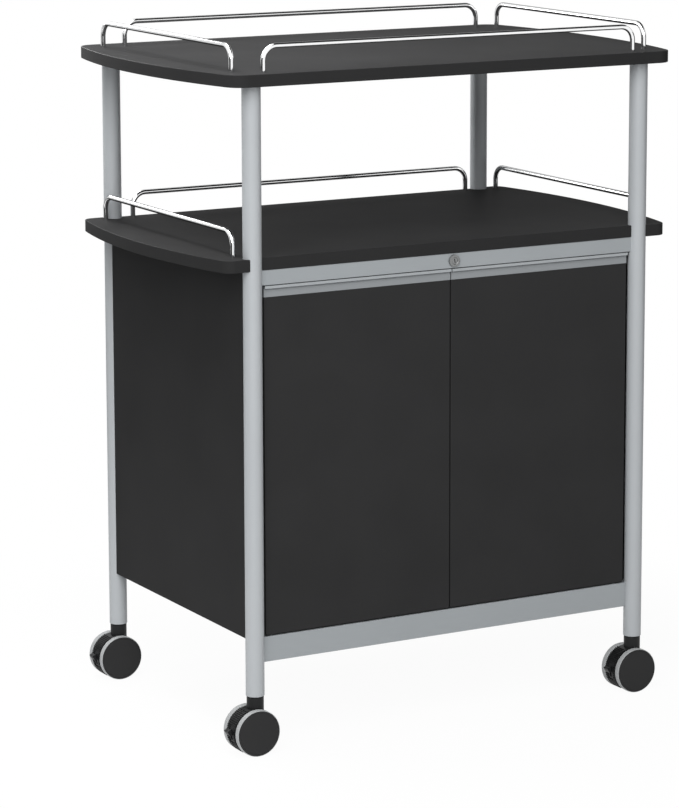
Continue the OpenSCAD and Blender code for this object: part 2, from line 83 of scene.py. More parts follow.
# Guards and their screws
ROD_R, GUARD_BEND_R = 4.0, 22.0
ROD_SIDES, BEND_STEPS = 28, 12
GUARD_H = span("top_front_guard", Z)[1] - TOP_FACE
SCREW_R, SCREW_END = 2.0, 26.0
HEAD_R, HEAD_T = 4.0, 3.0
SCREW_GAP, PILOT_DEPTH = 0.05, 8.0
RECESS_HALF_L, RECESS_HALF_W, RECESS_DEPTH = 2.3, 0.45, 1.7
PAST = 1.0                               # How far a cutter stands out of what it cuts

# Rails and doors
PANEL_X = span("front_top_rail", X)[1]
RAIL_EDGE_R, RAIL_GAP = 0.8, 0.05
RAIL_STATIONS = (-1.0, -0.5, 0.0, 0.5, 1.0)
DOOR_Y, DOOR_BACK = span("left_door_panel", Y)
DOOR_FOOT, DOOR_TOP = span("left_door_panel", Z)
DOOR_SEAM, DOOR_EDGE = span("right_door_panel", X)
DOOR_EDGE_R = 0.9
PULL_EDGE = 0.4
LIP_Y, PULL_TOP = span("left_door_pull", Y)[0], span("left_door_pull", Z)[1]
LIP_H, LIP_R = 4.5, 0.9
GROOVE_H, GROOVE_DEPTH = 3.0, 0.9
PULL_PARTS = 4

# Lock
LOCK_X, LOCK_Z = middle("lock_plug", X), middle("lock_plug", Z)
LOCK_FACE, LOCK_BACK = span("lock_barrel", Y)
LOCK_LENGTH = LOCK_BACK - LOCK_FACE
COLLAR_R, COLLAR_T = 9.5, 4.0
BARREL_R, BARREL_HOLE_R, HOLE_END = 8.0, 8.02, 28.0
PLUG_R, PLUG_GAP, PLUG_SUNK = 5.5, 0.05, 0.7
TAIL_R, TAIL_LENGTH = 3.0, 3.8
KEYWAY_HALF_W, KEYWAY_HALF_H, KEYWAY_DEPTH = 0.75, 3.3, 4.0
KEYWAY_TURN = -14                        # Degrees from upright
CAM_Y = span("lock_cam", Y)[0]
CAM_T, CAM_R, CAM_REACH, CAM_CORNER_R = 2.5, 10.0, 35.0, 3.0

# Casters: wheels
AXLE_X, WHEEL_R = middle("front_right_outer_hub", X), middle("front_right_outer_hub", Z)
TRAIL = POST_X - AXLE_X
TREAD_IN, TREAD_OUT = [POST_Y - y for y in reversed(span("back_right_inner_tyre", Y))]
CASTER_HALF = POST_Y - span("back_right_inner_hub", Y)[0]
CAP_R = WHEEL_R - 1.0
TREAD_SEAT_R = WHEEL_R - 4.0
HUB_R = WHEEL_R - 7.5
HUB_IN = 5.0                             # From the caster's middle to the hub's inner face
HUB_BOSS_R = 8.4
AXLE_R, AXLE_CHAMFER, AXLE_END = 4.0, 0.4, TREAD_OUT - 2.0
BORE_GAP, BORE_END = 0.05, TREAD_OUT - 1.7

# Casters: hood, neck and stem
HOOD_R, HOOD_BORE_R = WHEEL_R - 1.0, WHEEL_R - 6.5
HOOD_HALF = TREAD_IN - 0.6
HOOD_EDGE_R = 0.6
HOOD_START, HOOD_SWEEP = 5, 230          # Degrees round the axle
HOOD_STEPS, WEB_STEPS, BOSS_STEPS = 72, 56, 24
WEB_HALF, WEB_BOSS_R, WEB_IN_RIM = 4.7, 8.0, 0.5
NECK_R, NECK_TOP = 13.3, span("front_left_caster_hood", Z)[1]
NECK_FOOT = 2 * WHEEL_R - 13.7
DRUM_END = 20.0
STEM_R, STEM_SUNK, STEM_LENGTH, STEM_CHAMFER = 5.5, 10.0, 40.3, 0.8

# Casters: grip ribs
RIB_ANGLES = range(112, 233, 5)          # Degrees round the axle
PEDAL_ANGLES = (160, 204)
RIB_IN, RIB_OUT = 6.6, 13.4
RIB_HALF_W, RIB_SUNK, RIB_PROUD, RIB_EDGE_R = 0.75, 0.4, 1.6, 0.3

# Casters: brake levers
LEVER_PIVOT, LEVER_PIN_R, LEVER_BOSS_R = 16.0, 2.0, 4.5
ARM_HALF_W, ARM_HALF_H, ARM_EDGE_R = 2.2, 3.0, 0.5
SLOT_HALF_W, SLOT_END, SLOT_FOOT, SLOT_TOP = 2.5, 10.5, 11.0, 5.0
PEDAL_BACK, PEDAL_TIP, PEDAL_HALF_W = 37.0, 44.5, 6.0
PEDAL_FOOT, PEDAL_TOP = -3.0, 7.0
TIP_FOOT, TIP_TOP = 3.5, 4.4
PEDAL_RIBS, PEDAL_RIB_STEP, PEDAL_RIB_DROP = 3, 1.7, 0.8
PEDAL_RIB_HALF_L, PEDAL_RIB_HALF_W, PEDAL_RIB_H, PEDAL_RIB_EDGE_R = 5.2, 0.4, 1.6, 0.25

CORNERS = {"front_left": (-1, -1), "front_right": (1, -1),
           "back_left": (-1, 1), "back_right": (1, 1)}


# Material helpers

NOISE_LOW, NOISE_HIGH = 0.3, 0.7         # Between these lies most of a noise's output
TONE_SCALE = 9.0                         # Of the mottling, which is broad on every surface
BUMP_DEPTH = 0.05                        # Millimetres


def add(tree, kind, **inputs):
    """A node with values on its inputs. An underscore in a keyword stands for a space."""
    made = tree.nodes.new(kind)
    for key, value in inputs.items():
        made.inputs[key.replace("_", " ")].default_value = value
    return made


def coordinates(tree, scale):
    """The object's own coordinates, scaled."""
    coord = tree.nodes.new("ShaderNodeTexCoord")
    mapping = add(tree, "ShaderNodeMapping", Scale=scale)
    tree.links.new(coord.outputs["Object"], mapping.inputs["Vector"])
    return mapping.outputs["Vector"]


def noise(tree, vector, scale, detail=3.0, rough=0.5):
    """A noise's grey value."""
    made = add(tree, "ShaderNodeTexNoise", Scale=scale, Detail=detail, Roughness=rough)
    tree.links.new(vector, made.inputs["Vector"])
    return made.outputs["Fac"]


def spread(tree, value, low, high):
    """A noise's value, spread from low to high."""
    made = add(tree, "ShaderNodeMapRange", From_Min=NOISE_LOW, From_Max=NOISE_HIGH,
               To_Min=low, To_Max=high)
    tree.links.new(value, made.inputs["Value"])
    return made.outputs["Result"]


def blend_colors(tree, value, dark, light):
    """A colour between a dark and a light one, by a noise's value."""
    made = tree.nodes.new("ShaderNodeMix")
    made.data_type = "RGBA"
    made.inputs["A"].default_value = (*dark, 1)
    made.inputs["B"].default_value = (*light, 1)
    tree.links.new(spread(tree, value, 0.0, 1.0), made.inputs["Factor"])
    return made.outputs["Result"]


def average(tree, first, second):
    """The middle of two values."""
    made = tree.nodes.new("ShaderNodeMix")
    made.data_type = "FLOAT"
    made.inputs["Factor"].default_value = 0.5
    tree.links.new(first, made.inputs["A"])
    tree.links.new(second, made.inputs["B"])
    return made.outputs["Result"]


def bump(tree, shader, height, strength, distance):
    """A bump on a shader's normal."""
    made = add(tree, "ShaderNodeBump", Strength=strength, Distance=distance)
    tree.links.new(height, made.inputs["Height"])
    tree.links.new(made.outputs["Normal"], shader.inputs["Normal"])


def surface(name, color, vary, rough, rough_vary, grain_scale, bump_strength, specular=0.5,
            metallic=0.0, grain=(1, 1, 1), edge_tint=1.0):
    """A material with mottled colour, uneven gloss and a fine grain, all in real sizes."""
    material = bpy.data.materials.new(name)
    material.use_nodes = True
    tree = material.node_tree
    shader = tree.nodes["Principled BSDF"]
    tone = noise(tree, coordinates(tree, (1, 1, 1)), TONE_SCALE)
    fine = noise(tree, coordinates(tree, grain), grain_scale, detail=4.0, rough=0.6)
    dark = tuple(c * (1 - vary) for c in color)
    light = tuple(min(1.0, c * (1 + vary)) for c in color)
    tree.links.new(blend_colors(tree, average(tree, tone, fine), dark, light),
                   shader.inputs["Base Color"])
    tree.links.new(spread(tree, fine, rough - rough_vary, rough + rough_vary),
                   shader.inputs["Roughness"])
    shader.inputs["Metallic"].default_value = metallic
    shader.inputs["Specular IOR Level"].default_value = specular
    shader.inputs["Specular Tint"].default_value = (edge_tint, edge_tint, edge_tint, 1)
    bump(tree, shader, fine, bump_strength, BUMP_DEPTH * MM)
    return material


def drawn_metal(name, color, rough):
    """An aluminium section's finish, with its grain along X."""
    return surface(name, color, vary=0.03, rough=rough, rough_vary=0.05, specular=0.3,
                   metallic=0.2, grain=(0.02, 1, 1), grain_scale=900, bump_strength=0.05)


# Materials

LAMINATE = surface("black_laminate_top", (0.036, 0.036, 0.0365), vary=0.12, rough=0.55,
                   rough_vary=0.05, specular=0.003, grain_scale=900, bump_strength=0.10)
EDGE_BAND = surface("black_edge_band", (0.027, 0.027, 0.0275), vary=0.08, rough=0.45,
                    rough_vary=0.04, specular=0.02, grain_scale=700, bump_strength=0.08)
DOOR_BLACK = surface("black_door_laminate", (0.030, 0.030, 0.0305), vary=0.10, rough=0.5,
                     rough_vary=0.05, specular=0.03, grain_scale=900, bump_strength=0.12)
PANEL_BLACK = surface("black_panel_laminate", (0.027, 0.027, 0.0275), vary=0.10, rough=0.5,
                      rough_vary=0.05, specular=0.02, grain_scale=900, bump_strength=0.12)
POST_METAL = surface("silver_post_finish", (0.429, 0.449, 0.466), vary=0.02, rough=0.42,
                     rough_vary=0.04, specular=0.3, metallic=0.1, grain_scale=1400,
                     bump_strength=0.04)
RAIL_METAL = drawn_metal("silver_rail_finish", (0.33, 0.352, 0.367), rough=0.40)
# Darker copy of the drawn metal for the pull's face: painted shade where the lip overhangs it
PULL_METAL_PAINTED_SHADE = drawn_metal("silver_pull_painted_shade", (0.265, 0.28, 0.292), rough=0.42)
# Lighter copy of the same drawn metal for the lip: a painted highlight along its top
LIP_METAL_PAINTED_HIGHLIGHT = drawn_metal("silver_lip_painted_highlight", (0.365, 0.387, 0.401), rough=0.38)
# The low edge tint darkens the chrome towards grazing angles: painted shade for dark reflections
# along the rods' edges
CHROME = surface("guard_chrome", (0.94, 0.945, 0.95), vary=0.01, rough=0.07, rough_vary=0.02,
                 metallic=1.0, grain_scale=300, bump_strength=0.01, edge_tint=0.06)
STEEL = surface("zinc_steel", (0.52, 0.53, 0.54), vary=0.05, rough=0.32, rough_vary=0.08,
                metallic=1.0, grain_scale=700, bump_strength=0.08)
LOCK_METAL = surface("lock_nickel", (0.235, 0.24, 0.24), vary=0.04, rough=0.30,
                     rough_vary=0.06, metallic=0.8, grain_scale=500, bump_strength=0.05)
CASTER_BLACK = surface("caster_nylon", (0.014, 0.0145, 0.015), vary=0.10, rough=0.45,
                       rough_vary=0.06, specular=0.18, grain_scale=1200, bump_strength=0.15)
HUB_BLACK = surface("hub_nylon", (0.031, 0.031, 0.0315), vary=0.08, rough=0.45,
                    rough_vary=0.05, specular=0.08, grain_scale=1200, bump_strength=0.12)
INSERT_BLACK = surface("insert_plastic", (0.02, 0.02, 0.02), vary=0.10, rough=0.5,
                       rough_vary=0.05, grain_scale=900, bump_strength=0.1)
TREAD_GREY = surface("grey_tread", (0.40, 0.41, 0.415), vary=0.04, rough=0.55,
                     rough_vary=0.06, specular=0.3, grain_scale=900, bump_strength=0.15)


# Mesh helpers

MERGE_DISTANCE = 1e-4                    # Points nearer than this, in millimetres, are one


def to_mesh(name, bm):
    """A mesh made from a bmesh, which is freed."""
    mesh = bpy.data.meshes.new(name)
    bm.to_mesh(mesh)
    bm.free()
    return mesh


def add_object(name, data):
    """An object in the scene."""
    made = bpy.data.objects.new(name, data)
    bpy.context.scene.collection.objects.link(made)
    return made


def merge(bm, part):
    """Adds one bmesh to another."""
    mesh = to_mesh("part", part)
    bm.from_mesh(mesh)
    bpy.data.meshes.remove(mesh)


def cut(piece, bm):
    """Takes the closed form in a bmesh, in millimetres, out of a piece."""
    bmesh.ops.recalc_face_normals(bm, faces=bm.faces)
    mesh = to_mesh("cutter", bm)
    mesh.transform(Matrix.Scale(MM, 4))
    tool = add_object("cutter", mesh)
    made = piece.modifiers.new("cut", "BOOLEAN")
    made.operation = "DIFFERENCE"
    made.solver = "EXACT"
    made.object = tool
    graph = bpy.context.evaluated_depsgraph_get()
    fresh = bpy.data.meshes.new_from_object(piece.evaluated_get(graph))
    piece.modifiers.clear()
    old = piece.data
    piece.data = fresh
    bpy.data.meshes.remove(old)
    bpy.data.objects.remove(tool)
    bpy.data.meshes.remove(mesh)


def make_piece(name, bm, materials, body, nodes=(), sharp_angle=32, cutters=()):
    """Turns a bmesh in millimetres into a piece that rides on a body."""
    bmesh.ops.remove_doubles(bm, verts=bm.verts, dist=MERGE_DISTANCE)
    bmesh.ops.recalc_face_normals(bm, faces=bm.faces)
    mesh = to_mesh(name, bm)
    mesh.transform(Matrix.Scale(MM, 4))
    piece = add_object(name, mesh)
    for material in materials:
        mesh.materials.append(material)
    for cutter in cutters:
        cut(piece, cutter)
    piece.data.shade_smooth()
    piece.data.set_sharp_from_angle(angle=math.radians(sharp_angle))
    even = piece.modifiers.new("even_normals", "WEIGHTED_NORMAL")
    even.keep_sharp = True
    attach(piece, body)
    if nodes:
        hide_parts(*nodes)


def ring_strip(bm, first, second, material=0):
    """A strip of faces between two rings of as many points."""
    count = len(first)
    for i in range(count):
        j = (i + 1) % count
        face = bm.faces.new((first[i], first[j], second[j], second[i]))
        face.material_index = material


def loft(bm, rings):
    """Joins rings one after another and closes both ends."""
    for first, second in zip(rings, rings[1:]):
        ring_strip(bm, first, second)
    bm.faces.new(list(reversed(rings[0])))
    bm.faces.new(rings[-1])


def lathe(bm, profile, centre, axis="Z", sign=1, segments=72, closed=False):
    """Turns a profile of (radius, height) points round an axis, Z or Y, through a centre."""
    cx, cy, cz = centre

    def place(u, v, h):
        if axis == "Z":
            return cx + u, cy + v, cz + h
        return cx + u, cy + h, cz + v

    rings = []
    for radius, height in profile:
        h = sign * height
        if radius == 0:
            rings.append([bm.verts.new(place(0, 0, h))])
            continue
        turns = [2 * math.pi * k / segments for k in range(segments)]
        rings.append([bm.verts.new(place(radius * math.cos(t), radius * math.sin(t), h))
                      for t in turns])
    pairs = list(zip(rings, rings[1:]))
    if closed:
        pairs.append((rings[-1], rings[0]))
    for first, second in pairs:
        if len(first) == len(second):
            ring_strip(bm, first, second)
            continue
        pole, ring = (first[0], second) if len(first) == 1 else (second[0], first)
        for i in range(segments):
            bm.faces.new((pole, ring[i], ring[(i + 1) % segments]))


def block(bm, low, high, bevel=0.0, steps=3):
    """A block between two corners, with round edges where a bevel is given."""
    part = bmesh.new()
    bmesh.ops.create_cube(part, size=1.0)
    size = [b - a for a, b in zip(low, high)]
    centre = [(b + a) / 2 for a, b in zip(low, high)]
    for vert in part.verts:
        vert.co = Vector([m + c * s for m, c, s in zip(centre, vert.co, size)])
    if bevel:
        bmesh.ops.bevel(part, geom=list(part.edges), offset=bevel, segments=steps,
                        profile=0.5, affect="EDGES")
    merge(bm, part)


def prism(bm, outline, y0, y1):
    """An outline in (x, z) drawn out along Y."""
    loft(bm, [[bm.verts.new((x, y, z)) for x, z in outline] for y in (y0, y1)])


def arc(cx, cy, r, start, end, steps):
    """Points on an arc, with its ends in degrees."""
    turns = [math.radians(start + (end - start) * k / max(steps, 1)) for k in range(steps + 1)]
    return [(cx + r * math.cos(t), cy + r * math.sin(t)) for t in turns]


# Boards

MITRE_LIMIT = 0.35                       # Keeps the mitre of a very sharp corner short


def inset_point(points, i, amount):
    """The point i of a counter-clockwise outline, moved in by an amount, with mitred corners."""
    before, here, after = [Vector(points[k % len(points)]) for k in (i - 1, i, i + 1)]
    along_1 = (here - before).normalized()
    along_2 = (after - here).normalized()
    inward_1 = Vector((-along_1.y, along_1.x))
    inward_2 = Vector((-along_2.y, along_2.x))
    mitre = (inward_1 + inward_2).normalized()
    return here + mitre * (amount / max(MITRE_LIMIT, mitre.dot(inward_1)))


def slab(bm, outline, low, high, edge):
    """An outline made into a board. Its rounded rims and its edges take the second material."""
    rim = []
    for k in range(RIM_STEPS + 1):
        t = math.pi / 2 * k / RIM_STEPS
        rim.append((edge * (1 - math.sin(t)), edge * (1 - math.cos(t))))
    levels = [(amount, low + rise) for amount, rise in rim]
    levels += [(amount, high - rise) for amount, rise in reversed(rim)]
    loops = []
    for amount, z in levels:
        points = [inset_point(outline, i, amount) for i in range(len(outline))]
        loops.append([bm.verts.new((p.x, p.y, z)) for p in points])
    for first, second in zip(loops, loops[1:]):
        ring_strip(bm, first, second, material=1)
    bm.faces.new(list(reversed(loops[0])))
    bm.faces.new(loops[-1])


def notched_edge(half_d, edge_y):
    """The front long edge with a round notch at each end, where a post passes. The points next
    to a notch's mouth stand further off, so that the rounded rim doesn't fold there."""
    outer_turn = 180 + math.degrees(math.asin((half_d - POST_Y) / NOTCH_R))
    inner_turn = -math.degrees(math.asin((edge_y - POST_Y) / NOTCH_R))
    outer_stand_off, inner_stand_off, steps = 15, 9, 26
    left = arc(-POST_X, -POST_Y, NOTCH_R, outer_turn, outer_turn, 0)
    left += arc(-POST_X, -POST_Y, NOTCH_R, outer_turn - outer_stand_off,
                inner_turn + inner_stand_off, steps)
    left += arc(-POST_X, -POST_Y, NOTCH_R, inner_turn, inner_turn, 0)
    between = 120
    straight = [(-between, -edge_y), (between, -edge_y)]
    return left + straight + [(-x, y) for x, y in reversed(left)]


def shelf_outline(half_d, corner_r, edge_y=None):
    """Straight long edges, bowed ends and round corners. With an edge_y, the long edges sit
    back to it between the posts, and round notches let the posts through."""
    corner_y = half_d - corner_r
    corner_x = BOW_CENTRE + math.sqrt((BOW_R - corner_r) ** 2 - corner_y ** 2)
    tangent = math.degrees(math.atan2(corner_y, corner_x - BOW_CENTRE))
    if edge_y is None:
        front = [(x, -half_d) for x in (-corner_x / 2, 0, corner_x / 2)]
    else:
        front = notched_edge(half_d, edge_y)
    right = arc(corner_x, -corner_y, corner_r, -90, -tangent, CORNER_STEPS)
    right += arc(BOW_CENTRE, 0, BOW_R, -tangent, tangent, BOW_STEPS)[1:-1]
    right += arc(corner_x, corner_y, corner_r, tangent, 90, CORNER_STEPS)
    return front + right + [(-x, -y) for x, y in front] + [(-x, -y) for x, y in right]


GUARDS = {"top_" + side + "_guard": TOP_FACE for side in ("front", "back", "left", "right")}
GUARDS.update({"middle_" + side + "_guard": MID_FACE for side in ("back", "left", "right")})


def guard_ends(name):
    """The two points where a guard's legs stand, in plan."""
    x0, x1 = span(name, X)
    y0, y1 = span(name, Y)
    if x1 - x0 > y1 - y0:
        return (x0 + ROD_R, middle(name, Y)), (x1 - ROD_R, middle(name, Y))
    return (middle(name, X), y0 + ROD_R), (middle(name, X), y1 - ROD_R)


def legs_on(face):
    """The legs of the guards that stand on a board's face."""
    return [leg for name, z in GUARDS.items() if z == face for leg in guard_ends(name)]


def board(name, node, outline, under, face, rim_r):
    """A shelf's board, with a sunk hole from under for each guard screw."""
    bm = bmesh.new()
    slab(bm, outline, under, face, rim_r)
    sinks = bmesh.new()
    for x, y in legs_on(face):
        lathe(sinks, [(0, -PAST), (HEAD_R + SCREW_GAP, -PAST), (HEAD_R + SCREW_GAP, HEAD_T),
                      (SCREW_R + SCREW_GAP, HEAD_T + 0.02), (SCREW_R + SCREW_GAP, PILOT_DEPTH),
                      (0, PILOT_DEPTH)], (x, y, under), segments=32)
    make_piece(name, bm, [LAMINATE, EDGE_BAND], "cart", [node], cutters=[sinks])


board("top_shelf_board", "top_shelf", shelf_outline(CART_D / 2, TOP_CORNER_R),
      TOP_UNDER, TOP_FACE, TOP_RIM_R)
board("middle_shelf_board", "middle_shelf",
      shelf_outline(MID_HALF_D, MID_CORNER_R, MID_HALF_D - EDGE_SET_BACK),
      MID_UNDER, MID_FACE, MID_RIM_R)


# Posts

def post(name, x, y):
    """A post's tube, with a rounded foot."""
    bm = bmesh.new()
    outside = [(POST_R - 0.5, POST_FOOT), (POST_R - 0.15, POST_FOOT + 0.15),
               (POST_R, POST_FOOT + 0.5)]
    outside += [(POST_R, z) for z in (*POST_RINGS, TOP_UNDER)]
    inside = [(POST_BORE_R, TOP_UNDER), (POST_BORE_R, POST_FOOT + 0.3),
              (POST_BORE_R + 0.3, POST_FOOT)]
    lathe(bm, outside + inside, (x, y, 0), segments=96, closed=True)
    make_piece(name + "_post_tube", bm, [POST_METAL], "cart", [name + "_post"])


for name, (side_x, side_y) in CORNERS.items():
    post(name, side_x * POST_X, side_y * POST_Y)


# Guards

def guard_bend(centre_x, leg_h, start):
    """A quarter bend of a guard, as (x, z, heading in degrees)."""
    turns = [start - 90 * k / BEND_STEPS for k in range(BEND_STEPS + 1)]
    return [(centre_x + GUARD_BEND_R * math.cos(math.radians(t)),
             leg_h + GUARD_BEND_R * math.sin(math.radians(t)), t - 90) for t in turns]


def guard_rod(bm, length, place):
    """A wire guard over two legs. The function place puts a point (along, across, up)."""
    bar_z = GUARD_H - ROD_R
    leg_h = bar_z - GUARD_BEND_R
    half = length / 2
    path = [(-half, 0.0, 90.0), (-half, leg_h * 0.5, 90.0)]
    path += guard_bend(-half + GUARD_BEND_R, leg_h, 180)
    path += [(-half * 0.33, bar_z, 0.0), (half * 0.33, bar_z, 0.0)]
    path += guard_bend(half - GUARD_BEND_R, leg_h, 90)
    path += [(half, leg_h * 0.5, -90.0), (half, 0.0, -90.0)]
    rings = []
    for x, z, heading in path:
        h = math.radians(heading)
        normal_x, normal_z = -math.sin(h), math.cos(h)
        ring = []
        for k in range(ROD_SIDES):
            t = 2 * math.pi * k / ROD_SIDES
            u, v = ROD_R * math.cos(t), ROD_R * math.sin(t)
            ring.append(bm.verts.new(place(x + u * normal_x, v, z + u * normal_z)))
        rings.append(ring)
    loft(bm, rings)


def guard(name, face):
    """A guard on a board's face, along X or along Y."""
    (x0, y0), (x1, y1) = guard_ends(name)
    bm = bmesh.new()
    if x1 > x0:
        guard_rod(bm, x1 - x0, lambda along, across, up:
                  ((x0 + x1) / 2 + along, y0 + across, face + up))
    else:
        guard_rod(bm, y1 - y0, lambda along, across, up:
                  (x0 + across, (y0 + y1) / 2 + along, face + up))
    make_piece(name + "_rod", bm, [CHROME], "cart", [name], sharp_angle=50)


for name, face in GUARDS.items():
    guard(name, face)


def guard_screws():
    """Screws with a cross recess, seen from under each board. The recess takes two cutters,
    because bars that cross each other in one cutter spoil the cut."""
    bm = bmesh.new()
    bars = [bmesh.new(), bmesh.new()]
    for face, under in ((TOP_FACE, TOP_UNDER), (MID_FACE, MID_UNDER)):
        for x, y in legs_on(face):
            lathe(bm, [(0, 0.4), (2.2, 0.45), (3.4, 0.9), (HEAD_R, 1.8), (HEAD_R, HEAD_T),
                       (SCREW_R, HEAD_T), (SCREW_R, SCREW_END), (0, SCREW_END + 0.4)],
                  (x, y, under), segments=28)
            for bar, half_x, half_y in ((bars[0], RECESS_HALF_L, RECESS_HALF_W),
                                        (bars[1], RECESS_HALF_W, RECESS_HALF_L)):
                block(bar, (x - half_x, y - half_y, under - PAST),
                      (x + half_x, y + half_y, under + RECESS_DEPTH))
    make_piece("guard_screw_heads", bm, [STEEL], "cart", ["guard_screws"],
               cutters=bars)


guard_screws()


# Rails

def rail_section(node):
    """A rail's section in (y, z), with round edges and many points on its flat top and foot."""
    low, high = span(node, Z)
    y0, y1 = span(node, Y)
    edge = RAIL_EDGE_R
    edge_steps, flat_parts, least_flat = 4, 12, 4
    corners = []
    for cy, cz, start in ((y0 + edge, low + edge, 180), (y1 - edge, low + edge, 270),
                          (y1 - edge, high - edge, 0), (y0 + edge, high - edge, 90)):
        corners += arc(cy, cz, edge, start, start + 90, edge_steps)
    points = []
    for i, (y, z) in enumerate(corners):
        next_y, next_z = corners[(i + 1) % len(corners)]
        parts = flat_parts if abs(next_y - y) > least_flat else 1
        points += [(y + (next_y - y) * k / parts, z + (next_z - z) * k / parts)
                   for k in range(parts)]
    return points


def rail_end(y):
    """How far a rail reaches at a depth y: to the post's round side, or to the side panel."""
    from_post = y + POST_Y
    reach = POST_R + RAIL_GAP
    if abs(from_post) >= reach:
        return PANEL_X
    return min(PANEL_X, POST_X - math.sqrt(reach ** 2 - from_post ** 2))


def rail(name, node, cutters=()):
    """A rail between the front posts."""
    section = rail_section(node)
    bm = bmesh.new()
    loft(bm, [[bm.verts.new((rail_end(y) * share, y, z)) for y, z in section]
              for share in RAIL_STATIONS])
    make_piece(name, bm, [RAIL_METAL], "cart", [node], cutters=cutters)


lock_hole = bmesh.new()
lathe(lock_hole, [(0, 0.5), (BARREL_HOLE_R, 0.5), (BARREL_HOLE_R, HOLE_END), (0, HOLE_END)],
      (LOCK_X, LOCK_FACE, LOCK_Z), "Y", segments=48)
rail("top_rail_profile", "front_top_rail", [lock_hole])
rail("bottom_rail_profile", "front_bottom_rail")


# Doors

def pull_section():
    """The pull's section in (y, z): a plain face, a groove, and a round lip over it."""
    lip_foot = PULL_TOP - LIP_H
    face = [(DOOR_BACK, DOOR_TOP), (DOOR_Y + PULL_EDGE, DOOR_TOP), (DOOR_Y, DOOR_TOP + PULL_EDGE)]
    groove = [(DOOR_Y, lip_foot - GROOVE_H), (DOOR_Y + 0.25, lip_foot - 2.2),
              (DOOR_Y + 0.7, lip_foot - 1.2), (DOOR_Y + GROOVE_DEPTH, lip_foot - 0.5),
              (DOOR_Y + GROOVE_DEPTH - 0.1, lip_foot)]
    lip = [(LIP_Y + LIP_R, lip_foot), (LIP_Y + 0.25, lip_foot + 0.25), (LIP_Y, lip_foot + LIP_R),
           (LIP_Y, PULL_TOP - LIP_R), (LIP_Y + 0.25, PULL_TOP - 0.25), (LIP_Y + LIP_R, PULL_TOP)]
    back = [(DOOR_BACK - 0.5, PULL_TOP), (DOOR_BACK, PULL_TOP - 0.5)]
    return face + groove + lip + back


def door(side, sign):
    """A door's board and the pull along its top. The pull's face is painted shade under the lip;
    the lip takes the second material, a painted highlight.
    """
    x_out, x_in = sign * DOOR_EDGE, sign * DOOR_SEAM
    bm = bmesh.new()
    block(bm, (min(x_out, x_in), DOOR_Y, DOOR_FOOT), (max(x_out, x_in), DOOR_BACK, DOOR_TOP),
          DOOR_EDGE_R)
    make_piece(side + "_door_board", bm, [DOOR_BLACK], side + "_door",
               [side + "_door_panel"])
    bm = bmesh.new()
    stations = [x_out + (x_in - x_out) * k / PULL_PARTS for k in range(PULL_PARTS + 1)]
    loft(bm, [[bm.verts.new((x, y, z)) for y, z in pull_section()] for x in stations])
    # Faces in front of the door's face belong to the lip and take the painted highlight copy
    for face in bm.faces:
        if len(face.verts) == 4 and face.calc_center_median().y < DOOR_Y - 0.1:
            face.material_index = 1
    make_piece(side + "_door_pull_bar", bm, [PULL_METAL_PAINTED_SHADE, LIP_METAL_PAINTED_HIGHLIGHT], side + "_door",
               [side + "_door_pull"])


door("left", -1)
door("right", 1)


# Lock

def lock_collar():
    """The lock's barrel, with a round collar on the rail's face."""
    bm = bmesh.new()
    bore_r = PLUG_R + PLUG_GAP
    lathe(bm, [(bore_r, 0.35), (PLUG_R + 0.4, 0), (COLLAR_R - 1.1, 0), (COLLAR_R - 0.3, 0.35),
               (COLLAR_R, 1.0), (COLLAR_R, COLLAR_T), (BARREL_R, COLLAR_T),
               (BARREL_R, LOCK_LENGTH), (bore_r, LOCK_LENGTH)],
          (LOCK_X, LOCK_FACE, LOCK_Z), "Y", segments=64, closed=True)
    make_piece("lock_collar", bm, [LOCK_METAL], "cart", ["lock_barrel"])


def lock_core():
    """The plug that turns in the barrel, with a keyway in its face and a tail for the cam."""
    bm = bmesh.new()
    tail_end = LOCK_LENGTH + TAIL_LENGTH
    lathe(bm, [(0, PLUG_SUNK), (PLUG_R - 0.9, PLUG_SUNK), (PLUG_R - 0.3, PLUG_SUNK + 0.15),
               (PLUG_R, PLUG_SUNK + 0.6), (PLUG_R, LOCK_LENGTH), (TAIL_R, LOCK_LENGTH),
               (TAIL_R, tail_end), (0, tail_end)],
          (LOCK_X, LOCK_FACE, LOCK_Z), "Y", segments=56)
    keyway = bmesh.new()
    block(keyway, (-KEYWAY_HALF_W, LOCK_FACE - PAST, -KEYWAY_HALF_H),
          (KEYWAY_HALF_W, LOCK_FACE + KEYWAY_DEPTH, KEYWAY_HALF_H))
    turn = Matrix.Rotation(math.radians(KEYWAY_TURN), 4, "Y")
    place = Matrix.Translation((LOCK_X, 0, LOCK_Z)) @ turn
    bmesh.ops.transform(keyway, matrix=place, verts=keyway.verts)
    make_piece("lock_core", bm, [LOCK_METAL], "lock", ["lock_plug"],
               cutters=[keyway])


def lock_cam():
    """The plate on the plug's tail, with one round end."""
    bm = bmesh.new()
    corner_x = LOCK_X + CAM_REACH - CAM_CORNER_R
    corner_z = CAM_R - CAM_CORNER_R
    outline = arc(LOCK_X, LOCK_Z, CAM_R, 90, 270, 20)
    outline += arc(corner_x, LOCK_Z - corner_z, CAM_CORNER_R, -90, 0, 6)
    outline += arc(corner_x, LOCK_Z + corner_z, CAM_CORNER_R, 0, 90, 6)
    prism(bm, outline, CAM_Y, CAM_Y + CAM_T)
    make_piece("lock_cam_plate", bm, [STEEL], "lock", ["lock_cam"])


lock_collar()
lock_core()
lock_cam()


# Casters

def lever_slot(axle_x, y):
    """The slot in the rim and the web that the brake lever's arm swings in."""
    bm = bmesh.new()
    block(bm, (axle_x - HOOD_R - 2 * PAST, y - SLOT_HALF_W, WHEEL_R - SLOT_FOOT),
          (axle_x - SLOT_END, y + SLOT_HALF_W, WHEEL_R + SLOT_TOP))
    return bm


